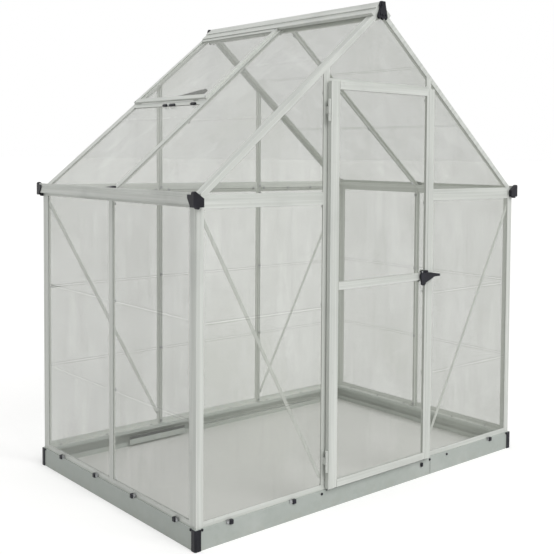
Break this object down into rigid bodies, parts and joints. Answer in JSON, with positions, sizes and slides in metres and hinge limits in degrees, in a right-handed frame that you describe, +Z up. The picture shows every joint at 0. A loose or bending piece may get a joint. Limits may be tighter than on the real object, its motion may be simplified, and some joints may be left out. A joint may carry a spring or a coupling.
{
  "type": "polycarbonate greenhouse",
  "caption": "Walk-in greenhouse of clear sheets in an aluminium frame, with a gable roof, gutters, a roof vent, a side-hung door that opens outwards and a folded steel base.",
  "frame": {"origin": "on the ground under the middle of the steel base", "axes": "+Z up, +X to the right along the door wall seen from outside, +Y from the door to the back"},
  "size_m": [1.85, 1.318, 2.0821],
  "materials": {
    "aluminium": "plain extruded",
    "galvanised_steel": "galvanised, folded",
    "clear_sheet": "clear",
    "clear_joiner": "clear",
    "black_plastic": "moulded satin"
  },
  "bodies": {
    "greenhouse": {"base_corner_caps": "black_plastic", "base_front": "galvanised_steel", "base_left": "galvanised_steel", "base_pegs": "black_plastic", "base_rear": "galvanised_steel", "base_right": "galvanised_steel", "door_jamb_left": "aluminium", "door_jamb_right": "aluminium", "door_lintel": "aluminium", "eave_caps": "black_plastic", "eave_connectors": "black_plastic", "front_braces": "aluminium", "front_corner_posts": "aluminium", "front_eave_rails": "aluminium", "front_gable_rafters": "aluminium", "front_gable_sheets": "clear_sheet", "front_sills": "aluminium", "front_wall_sheets": "clear_sheet", "gutter_left": "aluminium", "gutter_right": "aluminium", "jamb_hinges": "aluminium", "left_roof_sheets": "clear_sheet", "left_wall_sheets": "clear_sheet", "mid_rafters": "aluminium", "rear_braces": "aluminium", "rear_corner_posts": "aluminium", "rear_eave_rail": "aluminium", "rear_gable_rafters": "aluminium", "rear_gable_sheets": "clear_sheet", "rear_sill": "aluminium", "rear_studs": "aluminium", "rear_wall_sheets": "clear_sheet", "ridge_beam": "aluminium", "ridge_caps": "black_plastic", "right_roof_sheets": "clear_sheet", "right_wall_sheets": "clear_sheet", "sheet_joiners": "clear_joiner", "side_sills": "aluminium", "side_studs": "aluminium", "vent_arm": "black_plastic", "vent_frame": "aluminium", "vent_sheet": "clear_sheet", "vent_trimmer": "aluminium"},
    "door": {"door_hinges": "aluminium", "door_rails": "aluminium", "door_sheets": "clear_sheet", "door_stiles": "aluminium", "latch_plate": "black_plastic"},
    "latch": {"latch_lever": "black_plastic"}
  },
  "joints": [
    {"name": "door_hinge", "type": "hinge", "parent": "greenhouse", "child": "door", "pos_m": [-0.299, -0.65, 0.9], "axis": [0, 0, -1], "range_deg": [0, 120]},
    {"name": "latch_turn", "type": "hinge", "parent": "door", "child": "latch", "pos_m": [0.256, -0.665, 0.90642], "axis": [0, -1, 0], "range_deg": [0, 90]}
  ]
}
